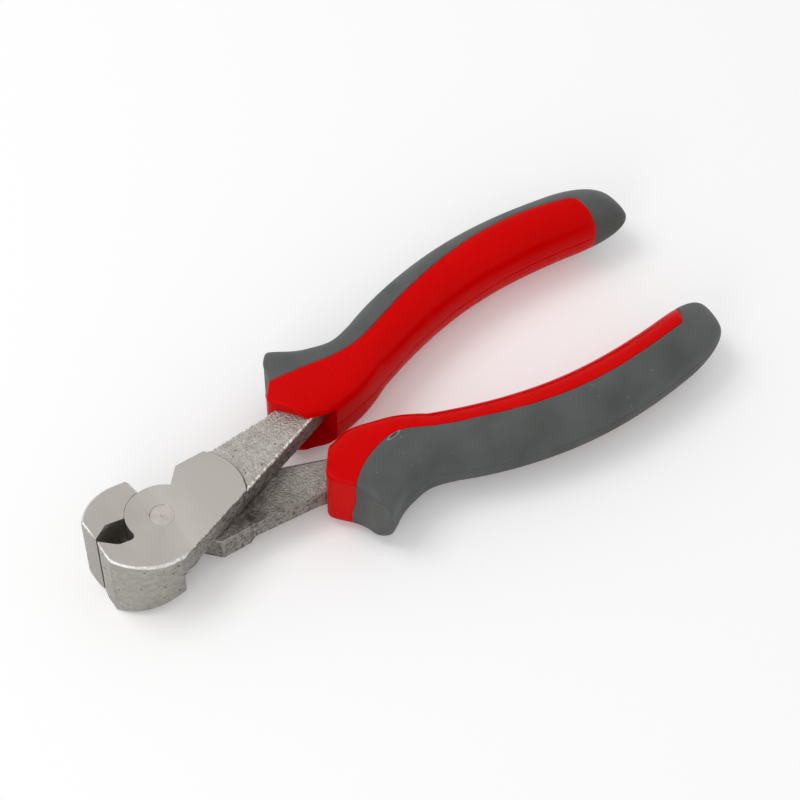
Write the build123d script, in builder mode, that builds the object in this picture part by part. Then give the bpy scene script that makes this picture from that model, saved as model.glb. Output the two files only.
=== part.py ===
"""End cutting nippers, about 160 mm long, in millimetres.

Two identical forged levers cross in a lap joint, one turned over on the other.
Each carries half of the cutting head at its front and a tang at its back, and
each tang is covered by a hard grip core with a soft cover moulded over it.

Frame: the origin is the middle of the rivet's upper end, flush in the upper
joint face.  +Z is the rivet's axis, +X runs to the handle ends, and the cutting
edges lie square across the front at -X.
"""

import os
from math import cos, pi, radians, sin, tan

from build123d import *

os.makedirs("parts", exist_ok=True)

# ---- joint -------------------------------------------------------------------
plate_thickness = 6.5       # one lap plate; the joint is two of them
plate_radius = 8.5          # round front of the lap plate, about the rivet
lap_clearance = 0.06        # between the two lap planes
seat_clearance = 0.10       # between a plate's round and the other jaw's seat
rivet_radius = 2.4
rivet_head_radius = 2.9     # countersunk ends, ground flush
rivet_head_angle = 64.0
rivet_clearance = 0.03      # radial, in the lever that turns on the rivet

# ---- cutting head -------------------------------------------------------------
edge_reach = 16.6           # rivet axis to the cutting edges
edge_width = 20.6           # length of the cutting edges, along the rivet axis
edge_gap = 0.7              # between the edges as the tool lies
edge_bevel = 0.5            # how far the front stands ahead of the edges
edge_bevel_width = 2.5      # middle of the tool to the bevel's outer end
jaw_half_width = 12.9       # jaw's outer side to the middle of the tool
jaw_side_radius = 14.3      # rounding from the front to the outer side
jaw_side_x = -5.0           # the rounding runs out into the side here
jaw_tail_x = -1.6           # the side turns in towards the tang here
jaw_tail_y = 12.6
spread_x = -1.8             # the ground faces begin to spread towards the edges
spread_radius = 30.0
nip_depth = 3.1             # half width of the nipping pocket at its widest
nip_widest_x = -11.2
nip_mouth_x = -14.4         # the pocket narrows to the edges from here
nip_mouth = 1.95            # half width there
nip_corner = 1.4            # rounding at the back of the pocket
heel_angle = 99.0           # where a jaw's heel stands round the rivet
heel_round = 1.0
worn_edge = 0.5             # bevel along the head's outer edges

# ---- lap plate behind the rivet -------------------------------------------------
stop_angle = 47.0           # notch face that stops the other jaw's heel
shoulder_height = 10.1      # outer side of the plate
shoulder_end = 16.4
shoulder_round = 0.8
face_centre_x = 7.8         # the ground face ends in an arc about this point
face_centre_y = 0.8
face_radius = 12.9
rough_step = 0.5            # the rough tang lies this much below the ground face

# ---- tang ------------------------------------------------------------------------
tang_root_x = 18.1          # tang's outer side leaves the plate
tang_root_outer = 9.6
tang_neck_x = 35.0          # just ahead of the grip
tang_neck_inner = 1.1
tang_neck_outer = 10.8
tang_wall = 3.2             # grip beside the tang at the waist
tang_waist_width = 7.0
tang_end_x = 124.0
tang_end_width = 4.6

# ---- grip --------------------------------------------------------------------------
collar_corner_x = 42.7      # inner front corner of the collar
collar_corner_y = 3.9
collar_nose_x = 36.4        # outer front corner of the collar
collar_nose_y = 12.6
collar_nose_round = 3.0
collar_round = 1.0          # along the front edges of collar and guard
guard_root_x = 41.0         # the collar's side turns into the thumb guard
guard_root_y = 18.8
guard_root_round = 6.0
guard_face_x = 42.5         # front of the thumb guard, near its tip
guard_tip_width = 2.7
guard_x = 44.5              # thumb guard's tip
guard_height = 4.4          # it stands this far out beyond the waist
guard_run = 5.5             # behind the tip the guard falls this far in
guard_fall = 2.4
collar_run_inner = 4.3      # inner side at the same place
waist_x = 58.5              # narrowest place behind the guard
waist_inner = 7.0
waist_outer = 23.8
bow_start_x = 72.0          # the handle follows the bow from here
bow_x = 108.0               # where the handle stands furthest out
bow_reach = 24.9            # its middle line there
bow_radius = 102.0          # of the middle line, ahead of bow_x
tail_radius = 135.0         # of the middle line, behind bow_x
bow_sections = 6
grip_half_width = 7.9
grip_half_height = 8.6
tail_x = 132.0              # the handle begins to close towards its end
grip_end_x = 143.4
end_angle = 80.0            # the end closes by an arc of this angle, then is flat
end_sections = 4
section_points = 12
collar_squareness = 5.0     # of the sections: 2 is an ellipse, more is boxier
waist_squareness = 3.6
grip_squareness = 2.3
outer_squareness = 2.1      # of the outer side, all along

# ---- cover and bare panel ------------------------------------------------------------
cover_thickness = 1.8
cover_end = 5.0             # solid cover material past the core's end
panel_end_x = 133.4         # the core's bare panel ends here
panel_corner = 3.0
# The cover's edge on the two broad sides of a grip, which differ: from the thumb
# guard to the waist in the tool's frame, and behind it from the handle's middle line.
face_edge_front = ((38, 17.9), (50, 16.4), (61, 15.7))
face_edge_behind = ((75, 0.6), (90, 1.4), (107, 2.5), (120, 2.4))
face_edge_end = 0.9
back_edge_front = ((38, 20.6), (44, 15.3), (50, 12.3), (57, 11.4), (64, 14.6))
back_edge_behind = ((72, -0.6), (88, -0.3), (108, -0.1))
back_edge_end = -0.2

# ---- hollow under the tang in the collar -----------------------------------------------
hollow_floor = 6.4          # measured from the lap plane
hollow_end_x = 50.5
hollow_side_y = 9.5
hollow_corner = 2.0

past = 2.0                  # how far a cutting shape runs past what it cuts

# A lever and its grip are drawn once, in the lap plane, with the handle to +Y and
# the jaw to -Y.  The lower pair is the same drawing turned over about the X axis.
lap_plane = Plane((0, 0, -plate_thickness))
turned_over = Plane(lap_plane.origin, x_dir=(1, 0, 0), z_dir=(0, 0, -1))


def on_circle(radius, angle, centre=(0, 0)):
    """Point at this angle, in degrees from +X, on a circle about a centre."""
    return (
        centre[0] + radius * cos(radians(angle)),
        centre[1] + radius * sin(radians(angle)),
    )


def bow_line(x):
    """Distance of the grip's middle line from the tool's middle at x."""
    radius = bow_radius if x < bow_x else tail_radius
    return bow_reach - radius + (radius**2 - (x - bow_x) ** 2) ** 0.5


# ---- levers -----------------------------------------------------------------------------
front_x = -edge_reach - edge_bevel
edge_tip = (-edge_reach, -edge_gap / 2)
side_centre = (jaw_side_x, jaw_side_radius - jaw_half_width)
front_corner_y = side_centre[1] - (jaw_side_radius**2 - (front_x - jaw_side_x) ** 2) ** 0.5
front_corner = (front_x, front_corner_y)
nip_back_x = -((plate_radius**2 - nip_depth**2) ** 0.5)
notch = on_circle(plate_radius, stop_angle)
shoulder = on_circle(shoulder_height / sin(radians(stop_angle)), stop_angle)
heel_corner = on_circle(jaw_half_width / sin(radians(heel_angle)), -heel_angle)
# Straight on past the edges, so that these come out at their full width.
spread_slope = (edge_width / 2 - plate_thickness) / (edge_reach + spread_x)
spread_height = edge_width / 2 + spread_slope * past


# The jaw's outer line, from its cutting edge round to its side.
with BuildLine() as jaw_front:
    Polyline(edge_tip, (front_x, -edge_bevel_width), front_corner)
    ThreePointArc(
        front_corner,
        on_circle(jaw_side_radius, 225, side_centre),
        (jaw_side_x, -jaw_half_width),
    )

# The jaw's half of the nipping pocket, from the edge back to the rivet.
with BuildSketch() as nipping_pocket:
    with BuildLine():
        Polyline(
            edge_tip,
            (nip_mouth_x, -nip_mouth),
            (nip_widest_x, -nip_depth),
            (0, -nip_depth),
            (0, past),
            (-edge_reach, past),
            close=True,
        )
    make_face()


def forge_lever(plane, hole_clearance):
    """Make a lever with its lap plate above this plane and half its jaw below."""
    lap_face = plane.offset(lap_clearance / 2)
    side_view = Plane(plane.origin, x_dir=plane.x_dir, z_dir=-plane.y_dir)

    with BuildPart() as lever:
        # The half with the lap plate: plate, its side of the jaw and the tang.
        with BuildSketch(lap_face) as plate_half:
            with BuildLine():
                add(jaw_front.line)
                Polyline(
                    (jaw_side_x, -jaw_half_width),
                    (jaw_tail_x, -jaw_tail_y),
                    (tang_neck_x, tang_neck_inner),
                )
                tang_inner = Spline(
                    (tang_neck_x, tang_neck_inner),
                    (waist_x, waist_inner + tang_wall),
                    (bow_x, bow_reach - tang_end_width / 2),
                    (tang_end_x, bow_line(tang_end_x) - tang_end_width / 2),
                )
                tang_outer = Spline(
                    (tang_end_x, bow_line(tang_end_x) + tang_end_width / 2),
                    (bow_x, bow_reach + tang_end_width / 2),
                    (waist_x, waist_inner + tang_wall + tang_waist_width),
                    (tang_neck_x, tang_neck_outer),
                )
                Line(tang_inner @ 1, tang_outer @ 0)
                Polyline(
                    (tang_neck_x, tang_neck_outer),
                    (tang_root_x, tang_root_outer),
                    (shoulder_end, shoulder_height),
                    shoulder,
                    notch,
                    (0, 0),
                    (-edge_reach, 0),
                    edge_tip,
                )
            make_face()
            add(nipping_pocket.sketch, mode=Mode.SUBTRACT)
            Circle(plate_radius)
            fillet(plate_half.vertices().sort_by_distance((nip_back_x, -nip_depth))[0], nip_corner)
            fillet(plate_half.vertices().sort_by_distance(shoulder)[0], shoulder_round)
        extrude(amount=edge_width)

        # The half beyond the lap plane: the jaw alone, seated round the other plate.
        with BuildSketch(lap_face) as jaw_half:
            with BuildLine():
                add(jaw_front.line)
                Polyline(
                    (jaw_side_x, -jaw_half_width),
                    heel_corner,
                    (0, 0),
                    (-edge_reach, 0),
                    edge_tip,
                )
            make_face()
            add(nipping_pocket.sketch, mode=Mode.SUBTRACT)
            fillet(jaw_half.vertices().sort_by_distance(heel_corner)[0], heel_round)
            Circle(plate_radius + seat_clearance, mode=Mode.SUBTRACT)
        extrude(amount=-edge_width)

        # The ground faces stay flat over the joint and spread towards the edges.
        with BuildSketch(side_view):
            with BuildLine():
                spread = FilletPolyline(
                    (tang_end_x + past, plate_thickness),
                    (spread_x, plate_thickness),
                    (-edge_reach - past, spread_height),
                    radius=spread_radius,
                )
                mirror(spread, about=Plane.XZ)
                Line(spread @ 0, (tang_end_x + past, -plate_thickness))
                Line(spread @ 1, (-edge_reach - past, -spread_height))
            make_face()
        extrude(amount=jaw_half_width + bow_reach, both=True, mode=Mode.INTERSECT)

        # The spread faces are worn to a bevel along the jaw's outer line.
        spread_faces = lever.faces().filter_by(GeomType.PLANE).filter_by(
            lambda face: 0.5 < abs(face.normal_at().Z) < 0.999
        )
        outer_edges = spread_faces.edges().filter_by(
            lambda edge: plane.to_local_coords(edge.center()).Y < -edge_bevel_width
            and Vector(edge.center().X, edge.center().Y, 0).length > jaw_half_width
        )
        chamfer(outer_edges, worn_edge)

        # Behind an arc the forging is left rough, a little below the ground face.
        with BuildSketch(plane.offset(plate_thickness - rough_step)):
            with Locations((face_centre_x, 0)):
                Rectangle(tang_end_x, 2 * jaw_half_width + 2 * bow_reach, align=(Align.MIN, Align.CENTER))
            with Locations((face_centre_x, face_centre_y)):
                Circle(face_radius, mode=Mode.SUBTRACT)
        extrude(amount=rough_step, mode=Mode.SUBTRACT)

        with Locations(plane.offset(plate_thickness)):
            CounterSinkHole(
                radius=rivet_radius + hole_clearance,
                counter_sink_radius=rivet_head_radius + hole_clearance,
                depth=plate_thickness,
                counter_sink_angle=rivet_head_angle,
            )
    return lever


upper_lever = forge_lever(lap_plane, 0)
upper_lever.part.label = "upper_lever"
lower_lever = forge_lever(turned_over, rivet_clearance)
lower_lever.part.label = "lower_lever"


# ---- rivet -------------------------------------------------------------------------------
head_depth = (rivet_head_radius - rivet_radius) / tan(radians(rivet_head_angle / 2))
with BuildPart() as pivot_rivet:
    with BuildSketch(Plane.XZ):
        with BuildLine():
            Polyline(
                (0, 0),
                (rivet_head_radius, 0),
                (rivet_radius, -head_depth),
                (rivet_radius, head_depth - 2 * plate_thickness),
                (rivet_head_radius, -2 * plate_thickness),
                (0, -2 * plate_thickness),
                close=True,
            )
        make_face()
    revolve(axis=Axis.Z)
pivot_rivet.part.label = "pivot_rivet"


# ---- grips ----------------------------------------------------------------------------------
guard_reach = waist_outer + guard_height
behind_x = collar_nose_x - 2 * past


def grip_stations():
    """Sections along a grip: x, inner side, outer side, half height, squareness."""
    full = grip_half_height
    guard_run_x = guard_x + guard_run
    stations = [
        (collar_nose_x - past, collar_corner_y, guard_reach, full, collar_squareness),
        (guard_x, collar_corner_y, guard_reach, full, collar_squareness),
        (guard_run_x, collar_run_inner, guard_reach - guard_fall, full, collar_squareness),
        (waist_x, waist_inner, waist_outer, full, waist_squareness),
    ]
    for step in range(bow_sections):
        x = bow_start_x + (tail_x - bow_start_x) * step / (bow_sections - 1)
        inner = bow_line(x) - grip_half_width
        outer = bow_line(x) + grip_half_width
        stations.append((x, inner, outer, full, grip_squareness))
    for step in range(end_sections):
        angle = radians(end_angle * (step + 1) / end_sections)
        x = tail_x + (grip_end_x - tail_x) * sin(angle) / sin(radians(end_angle))
        inner = bow_line(x) - grip_half_width * cos(angle)
        outer = bow_line(x) + grip_half_width * cos(angle)
        stations.append((x, inner, outer, full * cos(angle) ** 0.5, grip_squareness))
    return stations


def superellipse(reach, along, squareness):
    """One coordinate of a superellipse, from the sine or cosine of its angle."""
    return reach * abs(along) ** (2 / squareness) * (1 if along > 0 else -1)


def loft_grip(plane, skin):
    """Loft a grip, or the body that is left inside a skin of this thickness."""
    steps = range(section_points + 1)
    with BuildPart() as body:
        for x, inner, outer, half_height, squareness in grip_stations():
            if skin and x > grip_end_x - cover_end:
                break
            section = Plane(
                plane.origin + plane.x_dir * x, x_dir=plane.y_dir, z_dir=plane.x_dir
            )
            points = []
            for step in steps[:-1]:
                turn = 2 * pi * step / section_points
                side = outer_squareness if cos(turn) > 0 else squareness
                across = superellipse((outer - inner) / 2 - skin, cos(turn), side)
                up = superellipse(half_height - skin, sin(turn), squareness)
                points.append(((inner + outer) / 2 + across, up))
            with BuildSketch(section):
                with BuildLine():
                    add(Edge.make_spline(points, periodic=True, parameters=steps))
                make_face()
        loft()
    return body


def shape_grip(plane):
    """Make a whole grip, its front cut to the collar and the thumb guard."""
    whole = loft_grip(plane, 0)
    slant = (collar_nose_x - collar_corner_x) / (collar_nose_y - collar_corner_y)
    start = (collar_corner_x - slant * (collar_corner_y + past), -past)
    with BuildPart() as grip:
        add(whole.part)
        with BuildSketch(plane):
            with BuildLine():
                front = FilletPolyline(
                    start,
                    (collar_nose_x, collar_nose_y),
                    (guard_root_x, guard_root_y),
                    (guard_face_x, guard_reach - guard_tip_width),
                    (guard_x + past, guard_reach + past),
                    radius=(collar_nose_round, guard_root_round, collar_nose_round),
                )
                Polyline(front @ 1, (behind_x, guard_reach + past), (behind_x, -past), start)
            make_face()
        extrude(amount=grip_half_height + past, both=True, mode=Mode.SUBTRACT)
        front_edges = grip.edges(Select.LAST).filter_by(GeomType.LINE, reverse=True)
        fillet(front_edges, collar_round)
    return grip


def mould_cover(plane, grip):
    """Make the soft cover of one grip: a skin with the core's panel left bare."""
    inside = loft_grip(plane, cover_thickness)
    with BuildPart() as cover:
        add(grip.part)
        add(inside.part, mode=Mode.SUBTRACT)
        for front, behind, end, way in (
            (face_edge_front, face_edge_behind, face_edge_end, 1),
            (back_edge_front, back_edge_behind, back_edge_end, -1),
        ):
            with BuildSketch(plane) as panel:
                with BuildLine():
                    cover_edge = Spline(
                        *front,
                        *[(x, bow_line(x) + offset) for x, offset in behind],
                        (panel_end_x, bow_line(panel_end_x) + end),
                    )
                    Polyline(
                        cover_edge @ 1,
                        (panel_end_x, -past),
                        (behind_x, -past),
                        (behind_x, front[0][1]),
                        cover_edge @ 0,
                    )
                make_face()
                fillet(panel.vertices().sort_by_distance(cover_edge @ 1)[0], panel_corner)
            extrude(amount=way * (grip_half_height + past), mode=Mode.SUBTRACT)
    return cover


def mould_core(plane, grip, cover, lever):
    """Make the hard core of one grip, round the tang and under the cover."""
    with BuildPart() as core:
        add(grip.part)
        add(cover.part, mode=Mode.SUBTRACT)
        add(lever.part, mode=Mode.SUBTRACT)
        # Under the tang the collar is hollow, open to the front and the inner side.
        with BuildSketch(plane.offset(lap_clearance / 2)):
            with BuildLine():
                FilletPolyline(
                    (hollow_end_x, -past),
                    (hollow_end_x, hollow_side_y),
                    (behind_x, hollow_side_y),
                    radius=hollow_corner,
                )
                Polyline((behind_x, hollow_side_y), (behind_x, -past), (hollow_end_x, -past))
            make_face()
        extrude(amount=-hollow_floor - lap_clearance / 2, mode=Mode.SUBTRACT)
    return core


upper_grip = shape_grip(lap_plane)
upper_grip_cover = mould_cover(lap_plane, upper_grip)
upper_grip_cover.part.label = "upper_grip_cover"
upper_grip_core = mould_core(lap_plane, upper_grip, upper_grip_cover, upper_lever)
upper_grip_core.part.label = "upper_grip_core"

lower_grip = shape_grip(turned_over)
lower_grip_cover = mould_cover(turned_over, lower_grip)
lower_grip_cover.part.label = "lower_grip_cover"
lower_grip_core = mould_core(turned_over, lower_grip, lower_grip_cover, lower_lever)
lower_grip_core.part.label = "lower_grip_core"

for piece in (
    upper_lever,
    lower_lever,
    pivot_rivet,
    upper_grip_core,
    lower_grip_core,
    upper_grip_cover,
    lower_grip_cover,
):
    export_step(piece.part, f"parts/{piece.part.label}.step")
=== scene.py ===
"""Dressed scene of the end cutting nippers.

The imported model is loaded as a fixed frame.  The two forged levers are dressed
copies of the frame's own levers, with their edges rounded.  The rivet and the
two-part moulded grips are surfaces worked out here from the same sizes as the
solids.  Sizes are in millimetres and become metres when a mesh is made.
"""

import logging
from dataclasses import dataclass, field
from enum import Enum
from functools import partial, reduce
from math import pi, radians

import bmesh
import bpy
import numpy as np
from mathutils import Matrix, Vector


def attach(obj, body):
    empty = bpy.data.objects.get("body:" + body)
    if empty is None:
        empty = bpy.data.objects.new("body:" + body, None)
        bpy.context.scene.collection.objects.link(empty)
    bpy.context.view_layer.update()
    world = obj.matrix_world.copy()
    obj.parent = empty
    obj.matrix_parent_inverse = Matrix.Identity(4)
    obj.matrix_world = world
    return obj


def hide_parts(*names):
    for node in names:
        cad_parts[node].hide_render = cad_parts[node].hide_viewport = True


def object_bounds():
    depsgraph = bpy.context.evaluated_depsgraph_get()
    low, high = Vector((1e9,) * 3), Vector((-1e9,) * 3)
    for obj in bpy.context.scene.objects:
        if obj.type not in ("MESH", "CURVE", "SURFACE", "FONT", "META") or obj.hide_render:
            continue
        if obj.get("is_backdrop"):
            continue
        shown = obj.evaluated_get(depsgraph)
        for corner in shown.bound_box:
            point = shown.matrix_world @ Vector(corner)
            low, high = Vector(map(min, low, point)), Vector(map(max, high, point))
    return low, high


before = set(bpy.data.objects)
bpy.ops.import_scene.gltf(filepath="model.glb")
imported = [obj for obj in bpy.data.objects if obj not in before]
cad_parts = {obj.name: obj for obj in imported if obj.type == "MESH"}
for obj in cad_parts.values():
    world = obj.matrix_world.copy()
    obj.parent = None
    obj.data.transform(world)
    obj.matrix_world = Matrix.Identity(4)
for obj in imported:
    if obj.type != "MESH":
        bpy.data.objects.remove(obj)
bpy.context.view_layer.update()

log = logging.getLogger("nippers")

MM = 0.001
PLATE_THICKNESS = 6.5   # one lap plate, and the depth of the lap plane below the upper face
JOIN_REACH = 0.001      # points of a node's loose triangles this near are one
FLAT_WITHIN = 0.4       # degrees between two faces that count as one
LOWER_END_X = 142.1     # end of the lower grip, a little short of the upper one's


class Side(Enum):
    """The two levers: the lower one is the upper one turned over about X."""

    UPPER = ("upper", 1.0)
    LOWER = ("lower", -1.0)

    @property
    def body(self) -> str:
        """Name of the body that this side's pieces ride on."""
        return self.value[0]

    @property
    def turn(self) -> float:
        """1 for the upper lever and -1 for the one that is turned over."""
        return self.value[1]

    def node(self, part: str) -> str:
        """Name of this side's node for a part, such as "lever"."""
        return f"{self.body}_{part}"

    def place(self, points: np.ndarray) -> np.ndarray:
        """Carry points from the lap plane's own frame into the tool's frame.

        Args:
            points: N x 3 array, measured from the lap plane, handle to +Y.

        Returns:
            The points turned half round X for the lower side, on the lap plane.
        """
        return points * (1.0, self.turn, self.turn) - (0.0, 0.0, PLATE_THICKNESS)


@dataclass(frozen=True)
class GroundFace:
    """A lever's ground joint face, which ends in an arc behind the rivet."""

    centre: tuple[float, float] = (7.8, 0.8)    # of the arc, in the upper lever's plan
    radius: float = 12.9


# ---- meshes ---------------------------------------------------------------------------------


def make_mesh(name: str, points: np.ndarray, triangles: np.ndarray) -> bpy.types.Mesh:
    """Put arrays of points and triangles into a new mesh, smooth all over.

    Args:
        name: Name of the mesh.
        points: N x 3 array in millimetres, in the tool's frame.
        triangles: M x 3 array of indices, counter-clockwise seen from outside.

    Returns:
        The mesh, in metres, without points that no triangle uses.
    """
    used, corners = np.unique(triangles, return_inverse=True)
    corners = corners.reshape(-1).astype(np.int32)
    count = len(corners) // 3
    mesh = bpy.data.meshes.new(name)
    mesh.vertices.add(len(used))
    mesh.vertices.foreach_set("co", (points[used] * MM).astype(np.float32).ravel())
    mesh.loops.add(len(corners))
    mesh.loops.foreach_set("vertex_index", corners)
    mesh.polygons.add(count)
    mesh.polygons.foreach_set("loop_start", np.arange(0, 3 * count, 3, dtype=np.int32))
    mesh.polygons.foreach_set("use_smooth", np.ones(count, dtype=bool))
    mesh.update(calc_edges=True)
    return mesh


def add_object(name: str, mesh: bpy.types.Mesh) -> bpy.types.Object:
    """Link a mesh to the scene as an object that sits at the origin.

    Args:
        name: Name of the object.
        mesh: Its mesh, in the tool's frame.

    Returns:
        The object.
    """
    piece = bpy.data.objects.new(name, mesh)
    bpy.context.scene.collection.objects.link(piece)
    return piece


def settle_modifiers(piece: bpy.types.Object) -> None:
    """Replace a piece's mesh by what its modifiers make of it, and drop them.

    Args:
        piece: The piece.
    """
    bpy.context.view_layer.update()
    graph = bpy.context.evaluated_depsgraph_get()
    mesh = bpy.data.meshes.new_from_object(piece.evaluated_get(graph), depsgraph=graph)
    piece.modifiers.clear()
    piece.data = mesh


def cut_away(piece: bpy.types.Object, cutter: bpy.types.Object) -> None:
    """Cut one closed piece out of another and remove the cutter.

    Args:
        piece: The piece that is cut.
        cutter: The solid that is taken out of it.
    """
    cut = piece.modifiers.new("cut", "BOOLEAN")
    cut.operation = "DIFFERENCE"
    cut.solver = "MANIFOLD"
    cut.object = cutter
    settle_modifiers(piece)
    bpy.data.objects.remove(cutter)


def merged_copy(node: str, reach: float) -> bpy.types.Mesh:
    """Copy a CAD node's mesh, join its loose triangles and drop flat edges.

    Args:
        node: Name of the CAD node.
        reach: Points this near to a ground face's plane are brought into it.

    Returns:
        The copy, with one face for each flat region.
    """
    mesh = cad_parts[node].data.copy()
    work = bmesh.new()
    work.from_mesh(mesh)
    bmesh.ops.remove_doubles(work, verts=work.verts, dist=JOIN_REACH * MM)
    # the normals stay those of the node's own faces, which tell the flat edges
    for point in work.verts:
        for plane in (0.0, -2.0 * PLATE_THICKNESS * MM):
            if abs(point.co.z - plane) < reach * MM:
                point.co.z = plane
    flat = radians(FLAT_WITHIN)
    bmesh.ops.dissolve_limit(work, angle_limit=flat, verts=work.verts, edges=work.edges)
    work.to_mesh(mesh)
    work.free()
    return mesh


def finish_piece(
    piece: bpy.types.Object,
    body: str,
    node: str,
    material: bpy.types.Material,
) -> None:
    """Dress a piece and let it stand for its CAD node.

    Args:
        piece: The new piece, its place in its mesh.
        body: Body that it rides on.
        node: CAD node that it replaces.
        material: Its procedural material.
    """
    piece.data.materials.clear()
    piece.data.materials.append(material)
    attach(piece, body)
    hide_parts(node)
    log.info("%s: %d faces, replaces %s", piece.name, len(piece.data.polygons), node)


# ---- curves ---------------------------------------------------------------------------------


def smooth_step(value: np.ndarray, low: float, high: float) -> np.ndarray:
    """Rise smoothly from 0 at low to 1 at high: 3t^2 - 2t^3 of the clipped share t."""
    share = np.clip((value - low) / (high - low), 0.0, 1.0)
    return share * share * (3.0 - 2.0 * share)


def spline(knots: np.ndarray, values: np.ndarray, at: np.ndarray) -> np.ndarray:
    """Natural cubic spline.

    The second derivatives at the knots solve the usual three-term equations,
    with none at the ends, and each span is the cubic that they give.

    Args:
        knots: Rising places along the axis.
        values: Value at each knot.
        at: Places at which the spline is wanted.

    Returns:
        The spline's values, in the shape of at.
    """
    gap = np.diff(knots)
    slope = np.diff(values) / gap
    inside = np.arange(1, len(knots) - 1)
    system = np.eye(len(knots))
    system[inside, inside - 1] = gap[:-1]
    system[inside, inside] = 2.0 * (gap[:-1] + gap[1:])
    system[inside, inside + 1] = gap[1:]
    load = np.zeros(len(knots))
    load[inside] = 6.0 * np.diff(slope)
    bend = np.linalg.solve(system, load)
    span = np.clip(np.searchsorted(knots, at) - 1, 0, len(gap) - 1)
    run = at - knots[span]
    start = slope[span] - gap[span] * (2.0 * bend[span] + bend[span + 1]) / 6.0
    twist = (bend[span + 1] - bend[span]) / (6.0 * gap[span])
    return values[span] + run * (start + run * (bend[span] / 2.0 + run * twist))


def rounded_line(
    corners: list[tuple[float, float]], radii: list[float], arc_points: int = 17
) -> np.ndarray:
    """Polyline whose inner corners are arcs tangent to both of their sides.

    Args:
        corners: Points in the plane, first to last.
        radii: One radius for each inner corner.
        arc_points: Points on each arc.

    Returns:
        N x 2 array of points along the line.
    """
    steps = np.linspace(0.0, 1.0, arc_points)[:, None]
    pieces = [np.array(corners[:1], dtype=float)]
    for before, corner, behind, radius in zip(corners, corners[1:], corners[2:], radii):
        here = np.array(corner, dtype=float)
        back = (before - here) / np.linalg.norm(before - here)
        ahead = (behind - here) / np.linalg.norm(behind - here)
        half = np.arccos(back @ ahead) / 2.0
        middle = (back + ahead) / np.linalg.norm(back + ahead)
        centre = here + middle * radius / np.sin(half)
        start = here + back * radius / np.tan(half) - centre
        end = here + ahead * radius / np.tan(half) - centre
        sweep = pi - 2.0 * half
        pieces.append(
            centre
            + start * np.sin((1.0 - steps) * sweep) / np.sin(sweep)
            + end * np.sin(steps * sweep) / np.sin(sweep)
        )
    pieces.append(np.array(corners[-1:], dtype=float))
    return np.concatenate(pieces)


# ---- finishes -------------------------------------------------------------------------------

Colour = tuple[float, float, float, float]
Range = tuple[float, float]
Socket = bpy.types.NodeSocket
Value = float | Socket


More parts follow.
